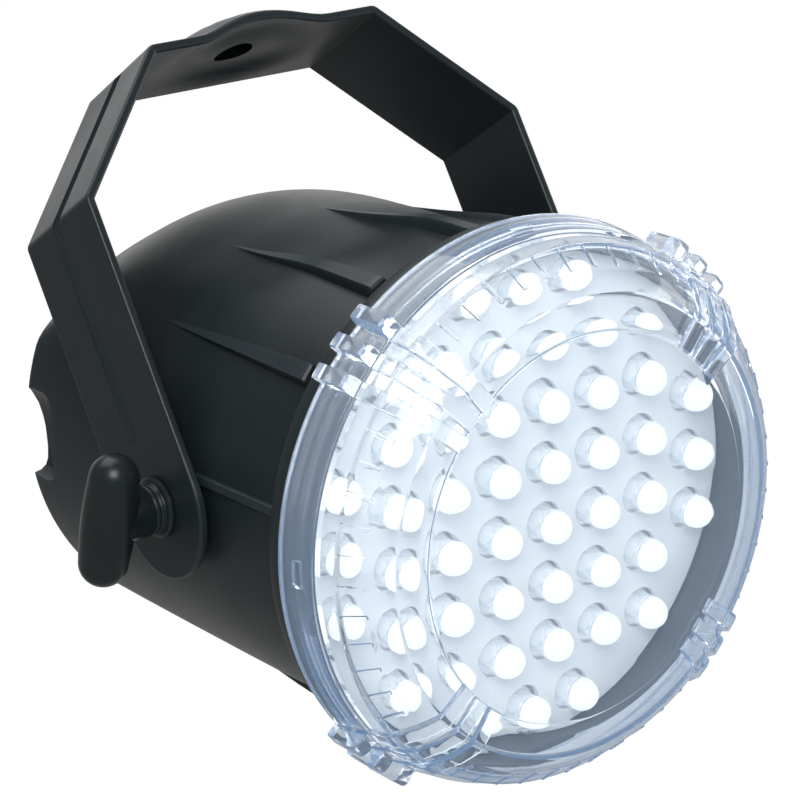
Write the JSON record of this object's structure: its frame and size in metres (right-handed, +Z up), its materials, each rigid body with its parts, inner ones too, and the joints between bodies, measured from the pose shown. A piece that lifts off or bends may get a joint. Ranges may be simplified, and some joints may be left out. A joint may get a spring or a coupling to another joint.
{
  "type": "strobe light",
  "caption": "Round strobe lamp head with a grid of light-emitting diodes under a clear twist-off cap, tilting in a folded strap yoke.",
  "frame": {"origin": "centre of the hanging-bolt hole, on the outer face of the boss in the middle of the yoke's top", "axes": "-Y is the way the lamp shines, +Z is up, X runs along the two pivots of the head"},
  "size_m": [0.1718, 0.1625, 0.1721],
  "materials": {
    "black_plastic": "satin",
    "knob_plastic": "semi-gloss",
    "clear_plastic": "clear polycarbonate",
    "silver_plate": "bright silver paint",
    "lamps": "clear white lamps on a board",
    "plated_steel": "zinc plated",
    "brass": "plain",
    "rubber": "matte",
    "circuit_board": "green solder mask",
    "lamination": "varnished steel",
    "winding": "wound wire under tape",
    "nylon": "matte"
  },
  "bodies": {
    "yoke": {"yoke": "black_plastic"},
    "head": {"housing": "black_plastic", "rear_panel": "black_plastic", "reflector_plate": "silver_plate", "led_board": "lamps", "driver_board": "circuit_board", "transformer_core": "lamination", "transformer_coil": "winding", "potentiometer": "plated_steel", "pot_nut": "plated_steel", "gland_body": "nylon", "gland_cap": "nylon", "gland_nut": "nylon", "plate_screw_1": "plated_steel", "spacer_1": "nylon", "plate_screw_2": "plated_steel", "spacer_2": "nylon", "plate_screw_3": "plated_steel", "spacer_3": "nylon", "rear_screw_1": "plated_steel", "rear_screw_2": "plated_steel", "rear_screw_3": "plated_steel", "rear_screw_4": "plated_steel", "driver_screw_1": "plated_steel", "driver_screw_2": "plated_steel", "left_washer": "rubber", "left_insert": "brass", "right_washer": "rubber", "right_insert": "brass"},
    "cap": {"clear_cap": "clear_plastic"},
    "left_knob": {"left_knob": "knob_plastic", "left_stud": "plated_steel"},
    "right_knob": {"right_knob": "knob_plastic", "right_stud": "plated_steel"},
    "rate_knob": {"rate_knob": "knob_plastic", "pot_shaft": "plated_steel"}
  },
  "joints": [
    {"name": "head_tilt", "type": "hinge", "parent": "yoke", "child": "head", "pos_m": [0, -0.05955, -0.09457], "axis": [1, 0, 0], "range_deg": [-73, 107]},
    {"name": "cap_twist", "type": "hinge", "parent": "head", "child": "cap", "pos_m": [0, -0.11665, -0.09457], "axis": [0, 1, 0], "range_deg": [-12, 0]},
    {"name": "left_knob_turn", "type": "hinge", "parent": "head", "child": "left_knob", "pos_m": [-0.07, -0.05955, -0.09457], "axis": [1, 0, 0], "continuous": true},
    {"name": "right_knob_turn", "type": "hinge", "parent": "head", "child": "right_knob", "pos_m": [0.07, -0.05955, -0.09457], "axis": [1, 0, 0], "continuous": true},
    {"name": "rate_turn", "type": "hinge", "parent": "head", "child": "rate_knob", "pos_m": [0, 0.00934, -0.08257], "axis": [0, 1, 0], "range_deg": [0, 270]}
  ]
}
